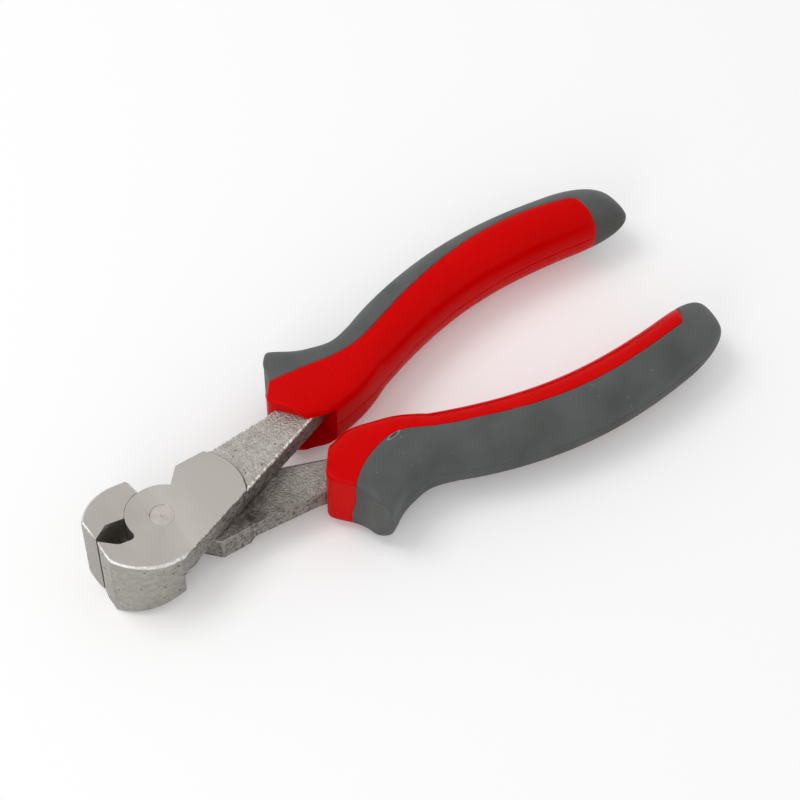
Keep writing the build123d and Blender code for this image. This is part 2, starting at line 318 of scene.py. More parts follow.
class Recipe:
    """Shader nodes of one material, added and joined by short calls."""

    def __init__(self, name: str) -> None:
        """Start a material with a Principled shader and Object coordinates.

        Args:
            name: Name of the material.
        """
        self.material = bpy.data.materials.new(name)
        self.material.use_nodes = True
        self.tree = self.material.node_tree
        self.shader = self.tree.nodes["Principled BSDF"]
        self.place = self.add("ShaderNodeTexCoord").outputs["Object"]
        self.x, self.y, self.z = self.add("ShaderNodeSeparateXYZ", vector=self.place).outputs

    def add(self, kind: str, settings: dict | None = None, **inputs: object) -> bpy.types.Node:
        """Add a node.

        Args:
            kind: Blender's type name of the node.
            settings: Properties of the node itself.
            **inputs: Value or socket for each input, by its name in lower case
                with _ for blanks, or in{N} for input number N.

        Returns:
            The new node.
        """
        node = self.tree.nodes.new(kind)
        for key, value in (settings or {}).items():
            setattr(node, key, value)
        for key, value in inputs.items():
            self.feed(self.socket(node, key), value)
        return node

    @staticmethod
    def socket(node: bpy.types.Node, key: str) -> Socket:
        """Find an input of a node.

        Args:
            node: The node.
            key: The input's name in lower case with _ for blanks, or in{N}.

        Returns:
            The input.
        """
        if key.startswith("in") and key[2:].isdigit():
            return node.inputs[int(key[2:])]
        return next(s for s in node.inputs if s.name.lower().replace(" ", "_") == key)

    def feed(self, socket: Socket, value: object) -> None:
        """Link a socket to an input, or set the input's own value.

        Args:
            socket: The input.
            value: Output of another node, or a constant.
        """
        if isinstance(value, Socket):
            self.tree.links.new(value, socket)
        else:
            socket.default_value = value

    def attribute(self, name: str) -> Socket:
        """Value of the piece's own attribute of this name."""
        return self.add("ShaderNodeAttribute", {"attribute_name": name}).outputs["Fac"]

    def noise(
        self, feature: float, detail: float = 2.0, where: Socket | None = None, **more: float
    ) -> Socket:
        """Noise whose features are this many millimetres across.

        Args:
            feature: Size of its features in millimetres.
            detail: Number of finer octaves.
            where: Place that is read, or None for the Object coordinates.
            **more: Other inputs of the noise node.

        Returns:
            The noise's value, about 0.3 to 0.7.
        """
        return self.add(
            "ShaderNodeTexNoise",
            vector=self.place if where is None else where,
            scale=1.0 / (feature * MM),
            detail=detail,
            **more,
        ).outputs["Fac"]

    def ramp(self, value: Value, low: float, high: float, start: float = 0.0, end: float = 1.0) -> Socket:
        """Map a value's range to another one.

        Args:
            value: The value.
            low: What becomes start.
            high: What becomes end.
            start: Result at low and beyond it.
            end: Result at high and beyond it.

        Returns:
            The mapped value.
        """
        return self.add(
            "ShaderNodeMapRange", value=value, from_min=low, from_max=high, to_min=start, to_max=end
        ).outputs["Result"]

    def spread(self, noise: Socket, least: float, most: float) -> Socket:
        """Spread what a noise usually gives from least to most."""
        return self.ramp(noise, 0.3, 0.7, least, most)

    def maths(self, operation: str, first: Value, second: Value = 0.0) -> Socket:
        """Result of one sum of two values."""
        return self.add("ShaderNodeMath", {"operation": operation}, in0=first, in1=second).outputs[0]

    def product(self, *factors: Value) -> Socket:
        """Product of all these values."""
        return reduce(partial(self.maths, "MULTIPLY"), factors)

    def mix(self, share: Value, first: Colour | Socket, second: Colour | Socket) -> Socket:
        """Mix of two colours."""
        node = self.add("ShaderNodeMix", {"data_type": "RGBA"}, in0=share, in6=first, in7=second)
        return node.outputs[2]

    def flat(self, x: Value, y: Value) -> Socket:
        """A place in the tool's plan."""
        return self.add("ShaderNodeCombineXYZ", x=x, y=y, z=0.0).outputs[0]

    def distance(self, first: Socket, second: tuple[float, float, float]) -> Socket:
        """Distance of a place from a fixed one."""
        node = self.add("ShaderNodeVectorMath", {"operation": "DISTANCE"}, in0=first, in1=second)
        return node.outputs["Value"]

    def bump(self, height: Value, depth: float, normal: Socket | None = None) -> Socket:
        """Add a relief.

        Args:
            height: Height of the relief, as a share.
            depth: Millimetres that a share of 1 stands high.
            normal: Normal of the relief that it lies on, if there is one.

        Returns:
            The normal of both.
        """
        node = self.add("ShaderNodeBump", height=height, distance=depth * MM, strength=1.0)
        if normal is not None:
            self.feed(node.inputs["Normal"], normal)
        return node.outputs["Normal"]

    def dress(self, **inputs: object) -> bpy.types.Material:
        """Feed the Principled shader.

        Args:
            **inputs: Value or socket for each of its inputs, named as in add.

        Returns:
            The finished material.
        """
        for key, value in inputs.items():
            self.feed(self.socket(self.shader, key), value)
        return self.material


@dataclass(frozen=True)
class Patches:
    """Noise that is cut off between two levels, so that its peaks stand as patches."""

    feature: float                  # millimetres across
    detail: float
    low: float
    high: float
    roughness: float = 0.5
    least: float = 0.0              # share between the patches
    most: float = 1.0               # and in them

    def share(self, r: Recipe) -> Socket:
        """Share of the patches at each place."""
        noise = r.noise(self.feature, self.detail, roughness=self.roughness)
        return r.ramp(noise, self.low, self.high, self.least, self.most)


@dataclass(frozen=True)
class Hairlines:
    """Lines left by the grinding, across the tool on the levers and the rivet."""

    width: float = 0.16
    stretch: float = 0.03           # scale of the noise along a line
    turn: float = 38.0              # degrees that the noise itself is turned by
    depth: float = 0.004

    def noise(self, r: Recipe) -> Socket:
        """Noise drawn out along the lines.

        Args:
            r: Recipe that the nodes join.

        Returns:
            The noise's value.
        """
        drawn_out = r.add(
            "ShaderNodeMapping",
            vector=r.place,
            rotation=(0.0, 0.0, radians(self.turn)),
            scale=(1.0, self.stretch, 1.0),
        )
        return r.noise(self.width, where=drawn_out.outputs["Vector"])


@dataclass(frozen=True)
class SteelFinish:
    """Forged and bead-blasted steel with ground faces, told apart by attributes."""

    name: str = "lever_steel"
    ground: Colour = (0.455, 0.425, 0.395, 1.0)
    ground_shade: Colour = (0.39, 0.365, 0.34, 1.0)
    blasted: Colour = (0.49, 0.465, 0.43, 1.0)
    blasted_shade: Colour = (0.39, 0.365, 0.335, 1.0)
    tang: Colour = (0.42, 0.395, 0.365, 1.0)
    tang_shade: Colour = (0.32, 0.30, 0.275, 1.0)
    # dark of the specks, pits and scars, and of the painted shade and painted shadow
    speck_and_shade: Colour = (0.06, 0.05, 0.04, 1.0)
    bright: Colour = (0.80, 0.78, 0.75, 1.0)
    # the blasted skin is satin ahead of the first and rough behind the second
    satin_end_x: float = -6.0
    rough_start_x: float = 4.0
    mottle: Patches = Patches(1.3, 4.0, 0.36, 0.62, roughness=0.65)
    specks: Patches = Patches(0.42, 2.0, 0.60, 0.68, roughness=0.7)
    scars: Patches = Patches(1.0, 4.0, 0.50, 0.60, roughness=0.7)
    pits: Patches = Patches(1.1, 1.0, 0.715, 0.745, most=0.7)
    worn_patches: Patches = Patches(0.7, 3.0, 0.44, 0.56, roughness=0.65)
    # each goes from its share on satin skin to its share on rough skin
    speck_and_shade_share: Range = (0.12, 0.60)
    scar_share: Range = (0.0, 0.75)
    worn_share: Range = (0.6, 0.0)
    bead_share: Range = (0.22, 1.0)
    # relief
    bead: float = 0.55
    bead_depth: float = 0.34
    wave: float = 2.6
    wave_depth: float = 0.32
    hairlines: Hairlines = Hairlines()
    # shine
    cloud: float = 6.5
    skin_roughness: Range = (0.36, 0.46)
    ground_roughness: float = 0.36
    by_clouds: Range = (-0.03, 0.05)        # what the clouds add to the skin's
    by_hairs: Range = (-0.04, 0.05)         # and the hairlines to the ground faces'
    # the ground faces are darker in their clouds and towards the rear
    cloud_edge: Range = (0.35, 0.65)
    cloud_share: float = 0.5
    rear_x: Range = (-2.0, 10.0)
    rear_share: float = 0.8
    # painted shade, in patches, on the rough skin that laps the other lever
    stain_height: Range = (0.3, 0.8)        # it fades between these, from the lap plane
    stain_start_x: float = 6.0
    stain_full_x: float = 18.0
    stain_end_x: float = 34.0
    stain_left: float = 0.25                # share of it behind its end
    stain_patches: Patches = Patches(2.2, 3.0, 0.3, 0.6, least=0.6)
    # painted shadow in the step at the ground face's rear
    face: GroundFace = GroundFace()
    step_shadow_start: float = -0.02               # behind the arc
    step_shadow_fade: float = 0.15
    step_shadow_end: float = 0.42
    step_height: float = 5.9                # above the lap plane

    def painted_step_shadow(self, r: Recipe) -> Socket:
        """Paint the shadow in the step behind the ground face of both levers.

        The place's y is taken with the sign of its height over the lap plane,
        so that one arc serves the lever that is turned over.

        Args:
            r: Recipe that the nodes join.

        Returns:
            Share of the painted shadow.
        """
        height = r.maths("ADD", r.z, PLATE_THICKNESS * MM)
        turned = r.product(r.y, r.maths("SIGN", height))
        centre = (self.face.centre[0] * MM, self.face.centre[1] * MM, 0.0)
        distance = r.distance(r.flat(r.x, turned), centre)
        arc = self.face.radius
        behind = r.maths("GREATER_THAN", distance, (arc + self.step_shadow_start) * MM)
        fade = r.ramp(distance, (arc + self.step_shadow_fade) * MM, (arc + self.step_shadow_end) * MM, 1.0, 0.0)
        outside = r.maths("GREATER_THAN", r.maths("ABSOLUTE", height), self.step_height * MM)
        rear = r.maths("GREATER_THAN", r.x, centre[0])
        return r.product(behind, fade, outside, rear)

    def stain(self, r: Recipe, wall: Socket) -> Socket:
        """Paint shade on the sides that lap the other lever.

        Args:
            r: Recipe that the nodes join.
            wall: 1 on upright walls, which stay clean.

        Returns:
            Share of the painted shade.
        """
        height = r.maths("ABSOLUTE", r.maths("ADD", r.z, PLATE_THICKNESS * MM))
        near, far = self.stain_height
        lapped = r.ramp(height, near * MM, far * MM, 1.0, 0.0)
        rise = r.ramp(r.x, self.stain_start_x * MM, self.stain_full_x * MM)
        fall = r.ramp(r.x, self.stain_full_x * MM, self.stain_end_x * MM, 1.0, self.stain_left)
        return r.product(lapped, fall, rise, r.maths("SUBTRACT", 1.0, wall), self.stain_patches.share(r))

    def skin_colour(self, r: Recipe, rough: Socket, wall: Socket) -> Socket:
        """Colour the blasted skin: mottled, with specks and pits, scars on walls and painted shade where
        it laps the other lever.

        Args:
            r: Recipe that the nodes join.
            rough: 0 on satin skin and 1 on rough skin.
            wall: 1 on upright walls.

        Returns:
            The colour.
        """
        base = r.mix(rough, self.blasted, self.tang)
        shade = r.mix(rough, self.blasted_shade, self.tang_shade)
        specks = r.product(self.specks.share(r), r.ramp(rough, 0.0, 1.0, *self.speck_and_shade_share))
        scars = r.product(self.scars.share(r), wall, r.ramp(rough, 0.0, 1.0, *self.scar_share))
        dark = r.maths("MAXIMUM", r.maths("MAXIMUM", specks, self.pits.share(r)), scars)
        colour = r.mix(dark, r.mix(self.mottle.share(r), base, shade), self.speck_and_shade)
        # painted shade where the skin laps the other lever
        return r.mix(self.stain(r, wall), colour, self.speck_and_shade)

    def ground_colour(self, r: Recipe, clouds: Socket) -> Socket:
        """Colour the ground faces.

        Args:
            r: Recipe that the nodes join.
            clouds: Noise of the clouds.

        Returns:
            The colour.
        """
        start, end = self.rear_x
        to_rear = r.ramp(r.x, start * MM, end * MM, 0.0, self.rear_share)
        cloudy = r.ramp(clouds, *self.cloud_edge, 0.0, self.cloud_share)
        return r.mix(r.maths("MAXIMUM", cloudy, to_rear), self.ground, self.ground_shade)

    def relief(self, r: Recipe, beads: Socket, hairs: Socket, ground: Socket, rough: Socket) -> Socket:
        """Raise the beads' grain and the forging's waves, and the hairlines where it is ground.

        Args:
            r: Recipe that the nodes join.
            beads: Noise of the blasted grain.
            hairs: Noise of the hairlines.
            ground: 1 on the ground faces.
            rough: 0 on satin skin and 1 on rough skin.

        Returns:
            The normal.
        """
        skin = r.maths("SUBTRACT", 1.0, ground)
        grain = r.product(beads, skin, r.ramp(rough, 0.0, 1.0, *self.bead_share))
        normal = r.bump(grain, self.bead_depth)
        normal = r.bump(r.product(r.noise(self.wave, 3.0), skin), self.wave_depth, normal)
        return r.bump(r.product(hairs, ground), self.hairlines.depth, normal)

    def make(self) -> bpy.types.Material:
        """Build the material.

        Returns:
            Steel that is smooth with hairlines where the attribute "ground" is
            1, bright where "worn" is 1, scarred where "wall" is 1, and otherwise
            blasted: satin on the jaws and rough behind them.
        """
        r = Recipe(self.name)
        ground, worn, wall = (r.attribute(name) for name in ("ground", "worn", "wall"))
        rough = r.ramp(r.x, self.satin_end_x * MM, self.rough_start_x * MM)
        beads = r.noise(self.bead, 3.0, roughness=0.62)
        clouds = r.noise(self.cloud, 3.0)
        hairs = self.hairlines.noise(r)

        colour = r.mix(ground, self.skin_colour(r, rough, wall), self.ground_colour(r, clouds))
        rubbed = r.maths("MAXIMUM", r.ramp(rough, 0.0, 1.0, *self.worn_share), self.worn_patches.share(r))
        colour = r.mix(r.product(worn, rubbed), colour, self.bright)
        # painted shadow in the step behind the ground face
        colour = r.mix(self.painted_step_shadow(r), colour, self.speck_and_shade)

        matt = r.maths("ADD", r.spread(clouds, *self.by_clouds), r.spread(beads, *self.skin_roughness))
        gloss = r.maths("ADD", r.spread(hairs, *self.by_hairs), self.ground_roughness)
        roughness = r.add("ShaderNodeMix", {"data_type": "FLOAT"}, in0=ground, in2=matt, in3=gloss)
        return r.dress(
            base_color=colour,
            metallic=1.0,
            roughness=roughness.outputs[0],
            normal=self.relief(r, beads, hairs, ground, rough),
        )


@dataclass(frozen=True)
class RivetFinish:
    """Rivet ground flush with the joint faces."""

    name: str = "rivet_steel"
    colour: Colour = (0.46, 0.43, 0.39, 1.0)
    shade: Colour = (0.40, 0.37, 0.335, 1.0)
    clouds: Patches = Patches(3.0, 2.0, 0.35, 0.65)
    roughness: Range = (0.32, 0.42)
    hairlines: Hairlines = Hairlines()

    def make(self) -> bpy.types.Material:
        """Build the material.

        Returns:
            Satin steel with the hairlines of the ground face.
        """
        r = Recipe(self.name)
        hairs = self.hairlines.noise(r)
        return r.dress(
            base_color=r.mix(self.clouds.share(r), self.colour, self.shade),
            metallic=1.0,
            roughness=r.spread(hairs, *self.roughness),
            normal=r.bump(hairs, self.hairlines.depth),
        )


@dataclass(frozen=True)
class CoreFinish:
    """Hard red plastic, moulded, semi-gloss."""

    name: str = "core_plastic"
    colour: Colour = (0.70, 0.0, 0.0, 1.0)
    shade: Colour = (0.64, 0.0, 0.0, 1.0)
    clouds: Patches = Patches(14.0, 3.0, 0.35, 0.7)
    roughness: Range = (0.17, 0.30)
    gloss_patch: float = 4.0
    reflection: float = 0.05
    skin: float = 0.9
    skin_depth: float = 0.006
    dent: float = 9.0
    dent_depth: float = 0.06

    def make(self) -> bpy.types.Material:
        """Build the material.

        Returns:
            Even red with faint flow clouds and a fine skin.
        """
        r = Recipe(self.name)
        normal = r.bump(r.noise(self.skin), self.skin_depth)
        return r.dress(
            base_color=r.mix(self.clouds.share(r), self.colour, self.shade),
            roughness=r.spread(r.noise(self.gloss_patch, 3.0), *self.roughness),
            specular_ior_level=self.reflection,
            normal=r.bump(r.noise(self.dent, 1.0), self.dent_depth, normal),
        )


@dataclass(frozen=True)
class CoverFinish:
    """Soft grey overmould, satin, with the mark of the mould's gate."""

    name: str = "cover_rubber"
    colour: Colour = (0.082, 0.088, 0.084, 1.0)
    shade: Colour = (0.058, 0.062, 0.059, 1.0)
    pale: Colour = (0.30, 0.31, 0.30, 1.0)
    # painted shade inside the gate's slit
    dark: Colour = (0.03, 0.03, 0.03, 1.0)
    cloud: float = 11.0
    cloud_edge: Range = (0.35, 0.68)
    roughness: Range = (0.45, 0.57)
    reflection: float = 0.45
    grain: float = 0.28
    grain_depth: float = 0.008
    dust: Patches = Patches(0.8, 0.0, 0.83, 0.86, most=0.35)
    # the gate's mark, an oval slit with painted shade inside and a pale rim
    gate_place: tuple[float, float] = (54.9, 11.9)
    gate_turn: float = -11.0                # degrees from the tool's length
    gate_size: tuple[float, float] = (1.75, 0.45)
    gate_depth: float = 0.12
    gate_height: float = 5.0                # from the lap plane, so that the sides stay free
    slit_edge: Range = (0.55, 0.8)          # in shares of the oval, over which the slit ends
    rim_start: Range = (0.7, 0.95)
    rim_end: Range = (1.05, 1.3)
    rim_share: float = 0.8

    def gate_mark(self, r: Recipe) -> tuple[Socket, Socket]:
        """Draw the slit, whose inside is painted dark as its shade, and its rim.

        The slit is on the broad side that lies down on the upper grip and up on
        the lower one, so |y| and the sign of y serve both.

        Args:
            r: Recipe that the nodes join.

        Returns:
            Shares of the slit's inside, which gets the painted shade, and of its rim.
        """
        oval = r.add(
            "ShaderNodeMapping",
            {"vector_type": "TEXTURE"},
            vector=r.flat(r.x, r.maths("ABSOLUTE", r.y)),
            location=(self.gate_place[0] * MM, self.gate_place[1] * MM, 0.0),
            rotation=(0.0, 0.0, radians(self.gate_turn)),
            scale=(self.gate_size[0] * MM, self.gate_size[1] * MM, 1.0),
        )
        radius = r.distance(oval.outputs["Vector"], (0.0, 0.0, 0.0))
        turned = r.product(r.maths("ADD", r.z, PLATE_THICKNESS * MM), r.maths("SIGN", r.y))
        on_back = r.maths("LESS_THAN", turned, -self.gate_height * MM)
        inside = r.product(r.ramp(radius, *self.slit_edge, 1.0, 0.0), on_back)
        rim = r.product(r.ramp(radius, *self.rim_start), r.ramp(radius, *self.rim_end, 1.0, 0.0))
        return inside, r.product(rim, on_back, self.rim_share)

    def make(self) -> bpy.types.Material:
        """Build the material.

        Returns:
            Grey with soft clouds, a fine grain, few specks of dust and the
            gate's mark.
        """
        r = Recipe(self.name)
        clouds = r.noise(self.cloud, 4.0)
        colour = r.mix(r.ramp(clouds, *self.cloud_edge), self.colour, self.shade)
        colour = r.mix(self.dust.share(r), colour, self.pale)
        inside, rim = self.gate_mark(r)
        # painted shade inside the gate's slit
        colour = r.mix(inside, colour, self.dark)
        normal = r.bump(inside, -self.gate_depth)
        return r.dress(
            base_color=r.mix(rim, colour, self.pale),
            roughness=r.spread(clouds, *self.roughness),
            specular_ior_level=self.reflection,
            normal=r.bump(r.noise(self.grain), self.grain_depth, normal),
        )


# ---- levers ---------------------------------------------------------------------------------


def from_upright_axis(point: Vector, centre: tuple[float, float]) -> float:
    """Distance of a point from an upright axis, with |y| so that it serves both levers."""
    return Vector((point.x - centre[0], abs(point.y) - centre[1])).length


@dataclass
class Lever:
    """A forged lever: the frame's own shape with its edges rounded.

    Every sharp edge of a merged copy gets a bevel weight by where it lies, and
    one bevel of the largest width rounds them all.
    """

    side: Side
    sharp_from: float = 20.0        # degrees between faces from which an edge is rounded
    sharp_shading: float = 38.0     # and from which it shades sharp
    segments: int = 3               # of each rounding
    widest: float = 0.55            # rounding of the rough tang's edges
    head_width: float = 0.20        # edges of the head
    joint_width: float = 0.10       # edges along the seam
    seam_radius: float = 8.9        # edges nearer the rivet's axis are along the seam
    tang_start_x: float = 24.0      # edges behind it are the tang's
    # edges that stay sharp: round the rivet, in the nipping pocket, along the
    # step and at the jaws' upright front corners
    rivet_radius: float = 3.2
    pocket_start_x: float = -16.9
    pocket_end_x: float = -8.0
    pocket_reach_y: float = 3.3
    step_reach: float = 0.3
    corner_end_x: float = -13.0
    upright_from: float = 0.9       # share of its length that an upright edge rises
    # ground face and cutting edge
    face: GroundFace = GroundFace()
    face_height: float = 6.25       # above the lap plane, the rough tang lies lower
    level_reach: float = 0.004      # points this near to a ground face belong to it
    blade_end_x: float = -16.2      # the cutting edges' ground fronts lie ahead of it
    blade_reach_y: float = 3.0      # and this near to the tool's middle
    # edges and sloping faces that are worn bright
    worn_height: float = 4.5        # above the lap plane
    worn_end_x: float = 4.0         # sloping faces behind it are not
    # how upright the faces' normals stand, from 0 on a wall to 1 on a level face
    flat_level: float = 0.9995
    level: float = 0.93
    slope: float = 0.35
    edge_slope: float = 0.2
    wall_most: float = 0.5

    def weigh_edges(self, mesh: bpy.types.Mesh) -> None:
        """Give each sharp edge the share of the widest rounding that it gets.

        Args:
            mesh: The lever's mesh, whose bevel weights are set.
        """
        work = bmesh.new()
        work.from_mesh(mesh)
        weight = work.edges.layers.float.new("bevel_weight_edge")
        for edge in work.edges:
            if len(edge.link_faces) == 2 and edge.calc_face_angle(0.0) > radians(self.sharp_from):
                middle = (edge.verts[0].co + edge.verts[1].co) / (2.0 * MM)
                run = edge.verts[1].co - edge.verts[0].co
                if middle.x > self.corner_end_x or abs(run.z) < self.upright_from * run.length:
                    edge[weight] = self.width_at(middle) / self.widest
        work.to_mesh(mesh)
        work.free()

    def width_at(self, middle: Vector) -> float:
        """Choose the rounding of an edge.

        Args:
            middle: The edge's middle in millimetres.

        Returns:
            Width of its rounding in millimetres.
        """
        from_axis = middle.xy.length
        along_pocket = self.pocket_start_x < middle.x < self.pocket_end_x
        in_pocket = along_pocket and abs(middle.y) < self.pocket_reach_y
        from_step = abs(from_upright_axis(middle, self.face.centre) - self.face.radius)
        at_step = from_step < self.step_reach and middle.x > 0.0
        if from_axis < self.rivet_radius or in_pocket or at_step:
            return 0.0
        if from_axis < self.seam_radius:
            return self.joint_width
        if middle.x > self.tang_start_x:
            return self.widest
        return self.head_width

    def part_roundings(self, mesh: bpy.types.Mesh) -> None:
        """Make each edge sharp that parts a level face from its rounding.

        The level faces then shade flat there, and still run smoothly into the
        hollow that leads up to the jaws.  The bevel gives its faces material
        index 1.

        Args:
            mesh: The rounded lever's mesh, whose edges are marked.
        """
        count = len(mesh.polygons)
        normal = np.empty(count * 3, dtype=np.float32)
        index = np.empty(count, dtype=np.int32)
        total = np.empty(count, dtype=np.int32)
        edge = np.empty(len(mesh.loops), dtype=np.int32)
        sharp = np.empty(len(mesh.edges), dtype=bool)
        mesh.polygons.foreach_get("normal", normal)
        mesh.polygons.foreach_get("material_index", index)
        mesh.polygons.foreach_get("loop_total", total)
        mesh.loops.foreach_get("edge_index", edge)
        mesh.edges.foreach_get("use_edge_sharp", sharp)
        owner = np.repeat(np.arange(count), total)
        level = (np.abs(normal[2::3]) > self.flat_level) & (index == 0)
        on_level = np.bincount(edge[level[owner]], minlength=len(sharp)) > 0
        on_rounding = np.bincount(edge[(index == 1)[owner]], minlength=len(sharp)) > 0
        mesh.edges.foreach_set("use_edge_sharp", sharp | (on_level & on_rounding))

    def mark_faces(self, mesh: bpy.types.Mesh) -> None:
        """Store what is ground, worn or a wall as three attributes of the faces.

        A face is ground where it looks along the rivet and is not on the tang,
        and at the front of the cutting edge.  Roundings, which the bevel gives
        material index 1, and sloping faces are worn where they stand out.

        Args:
            mesh: The rounded lever's mesh, whose attributes are set.
        """
        count = len(mesh.polygons)
        centre = np.empty(count * 3, dtype=np.float32)
        normal = np.empty(count * 3, dtype=np.float32)
        index = np.empty(count, dtype=np.int32)
        mesh.polygons.foreach_get("center", centre)
        mesh.polygons.foreach_get("normal", normal)
        mesh.polygons.foreach_get("material_index", index)
        centre = centre.reshape(-1, 3) / MM
        normal = normal.reshape(-1, 3)
        x, y = centre[:, 0], centre[:, 1]
        upright = np.abs(normal[:, 2])
        off_lap = np.abs(centre[:, 2] + PLATE_THICKNESS)
        from_arc = np.hypot(x - self.face.centre[0], self.side.turn * y - self.face.centre[1])
        on_face = (off_lap > self.face_height) | (from_arc < self.face.radius)
        front = (x < self.blade_end_x) & (np.abs(y) < self.blade_reach_y)
        ground = ((upright > self.level) & on_face & (x < self.tang_start_x)) | front
        sloping = (upright > self.slope) & (upright < self.level) & (x < self.worn_end_x)
        on_edge = (index == 1) & (upright > self.edge_slope)
        worn = (on_edge | sloping) & (off_lap > self.worn_height) & ~ground
        for name, values in (("ground", ground), ("worn", worn), ("wall", upright < self.wall_most)):
            attribute = mesh.attributes.new(name, "FLOAT", "FACE")
            attribute.data.foreach_set("value", values.astype(np.float32))
        mesh.polygons.foreach_set("material_index", np.zeros(count, dtype=np.int32))

    def build(self, steel: bpy.types.Material) -> None:
        """Build the lever and put it in the CAD lever's place.

        Args:
            steel: Material of the lever.
        """
        node = self.side.node("lever")
        mesh = merged_copy(node, self.level_reach)
        self.weigh_edges(mesh)
        mesh.materials.clear()
        mesh.materials.append(steel)
        mesh.materials.append(None)
        piece = add_object(f"{node}_forging", mesh)
        bevel = piece.modifiers.new("rounding", "BEVEL")
        bevel.limit_method = "WEIGHT"
        bevel.offset_type = "OFFSET"
        bevel.width = self.widest * MM
        bevel.segments = self.segments
        bevel.use_clamp_overlap = False
        bevel.material = 1
        settle_modifiers(piece)
        mesh = piece.data
        mesh.polygons.foreach_set("use_smooth", np.ones(len(mesh.polygons), dtype=bool))
        mesh.set_sharp_from_angle(angle=radians(self.sharp_shading))
        self.part_roundings(mesh)
        self.mark_faces(mesh)
        piece.modifiers.new("flat faces stay flat", "WEIGHTED_NORMAL").keep_sharp = True
        finish_piece(piece, self.side.body, node, steel)


# ---- rivet ----------------------------------------------------------------------------------


@dataclass
class Rivet:
    """The rivet: a turned profile, both countersunk ends ground flush."""

    shank_radius: float = 2.38
    head_radius: float = 2.86
    head_depth: float = 0.8
    rim: float = 0.07               # tiny chamfer at the flush ends
    cone_start: float = 0.02        # the countersink's cone starts this far in from the chamfer
    dimple_radius: float = 0.42
    dimple_depth: float = 0.22
    dimple_rows: int = 7
    around: int = 128
    sharp_shading: float = 25.0     # degrees

    def profile(self) -> np.ndarray:
        """Draw the half profile, with a dimple whose depth falls as 1 - t^2.

        Returns:
            Radius and z from the middle of the upper end to the middle plane.
        """
        bowl = np.linspace(0.0, 1.0, self.dimple_rows)
        dimple = np.stack([bowl * self.dimple_radius, -self.dimple_depth * (1.0 - bowl**2)], axis=1)
        rest = [
            (self.head_radius - self.rim, 0.0),
            (self.head_radius, -self.rim),
            (self.head_radius - self.cone_start, -2 * self.rim),
            (self.shank_radius, -self.head_depth),
            (self.shank_radius, -PLATE_THICKNESS),
        ]
        return np.concatenate([dimple, rest])

    def build(self, steel: bpy.types.Material) -> None:
        """Turn the profile about the rivet's axis.

        Each ring has the points (r cos a, r sin a, z) of one profile point, and
        the lower half is the upper one's profile, mirrored and run backwards.

        Args:
            steel: Material of the rivet.
        """
        upper = self.profile()
        lower = upper[::-1] * (1.0, -1.0) - (0.0, 2 * PLATE_THICKNESS)
        line = np.concatenate([upper[1:], lower[1:-1]])
        turn = np.linspace(0.0, 2 * pi, self.around, endpoint=False)
        rings = np.stack(
            [
                line[:, :1] * np.cos(turn),
                line[:, :1] * np.sin(turn),
                np.repeat(line[:, 1:], self.around, axis=1),
            ],
            axis=2,
        ).reshape(-1, 3)
        top, bottom = len(rings), len(rings) + 1
        poles = [(0.0, 0.0, upper[0, 1]), (0.0, 0.0, lower[-1, 1])]
        points = np.concatenate([rings, poles])
        here = np.arange(self.around)
        after = np.roll(here, -1)
        last = (len(line) - 1) * self.around
        triangles = np.concatenate(
            [
                np.stack([np.full(self.around, top), here, after], axis=1),
                tube_triangles(len(line), self.around)[:, ::-1],
                np.stack([np.full(self.around, bottom), last + after, last + here], axis=1),
            ]
        )
        mesh = make_mesh("pivot_rivet_turned", points, triangles)
        mesh.set_sharp_from_angle(angle=radians(self.sharp_shading))
        piece = add_object(mesh.name, mesh)
        finish_piece(piece, Side.UPPER.body, "pivot_rivet", steel)


def tube_triangles(rows: int, around: int) -> np.ndarray:
    """Triangles of a tube of rings.

    They look outwards where the rings turn from +Y to +Z and follow each other
    along +X.

    Args:
        rows: Number of rings.
        around: Points in each ring.

    Returns:
        M x 3 array of indices into the rings laid end to end.
    """
    row, column = np.meshgrid(np.arange(rows - 1), np.arange(around), indexing="ij")
    here = row * around + column
    beside = row * around + (column + 1) % around
    first = np.stack([here, beside, beside + around], axis=-1).reshape(-1, 3)
    second = np.stack([here, beside + around, here + around], axis=-1).reshape(-1, 3)
    return np.concatenate([first, second])


# ---- grips ----------------------------------------------------------------------------------


@dataclass
class Skin:
    """How far one surface of the grip lies inside its outer surface."""

    depth: float = 0.0              # in from the sides
    front: float = 0.0              # back from the front walls
    end: float = 0.0                # in from the handle's end
    rim: float = 1.0                # rounding of the front edges


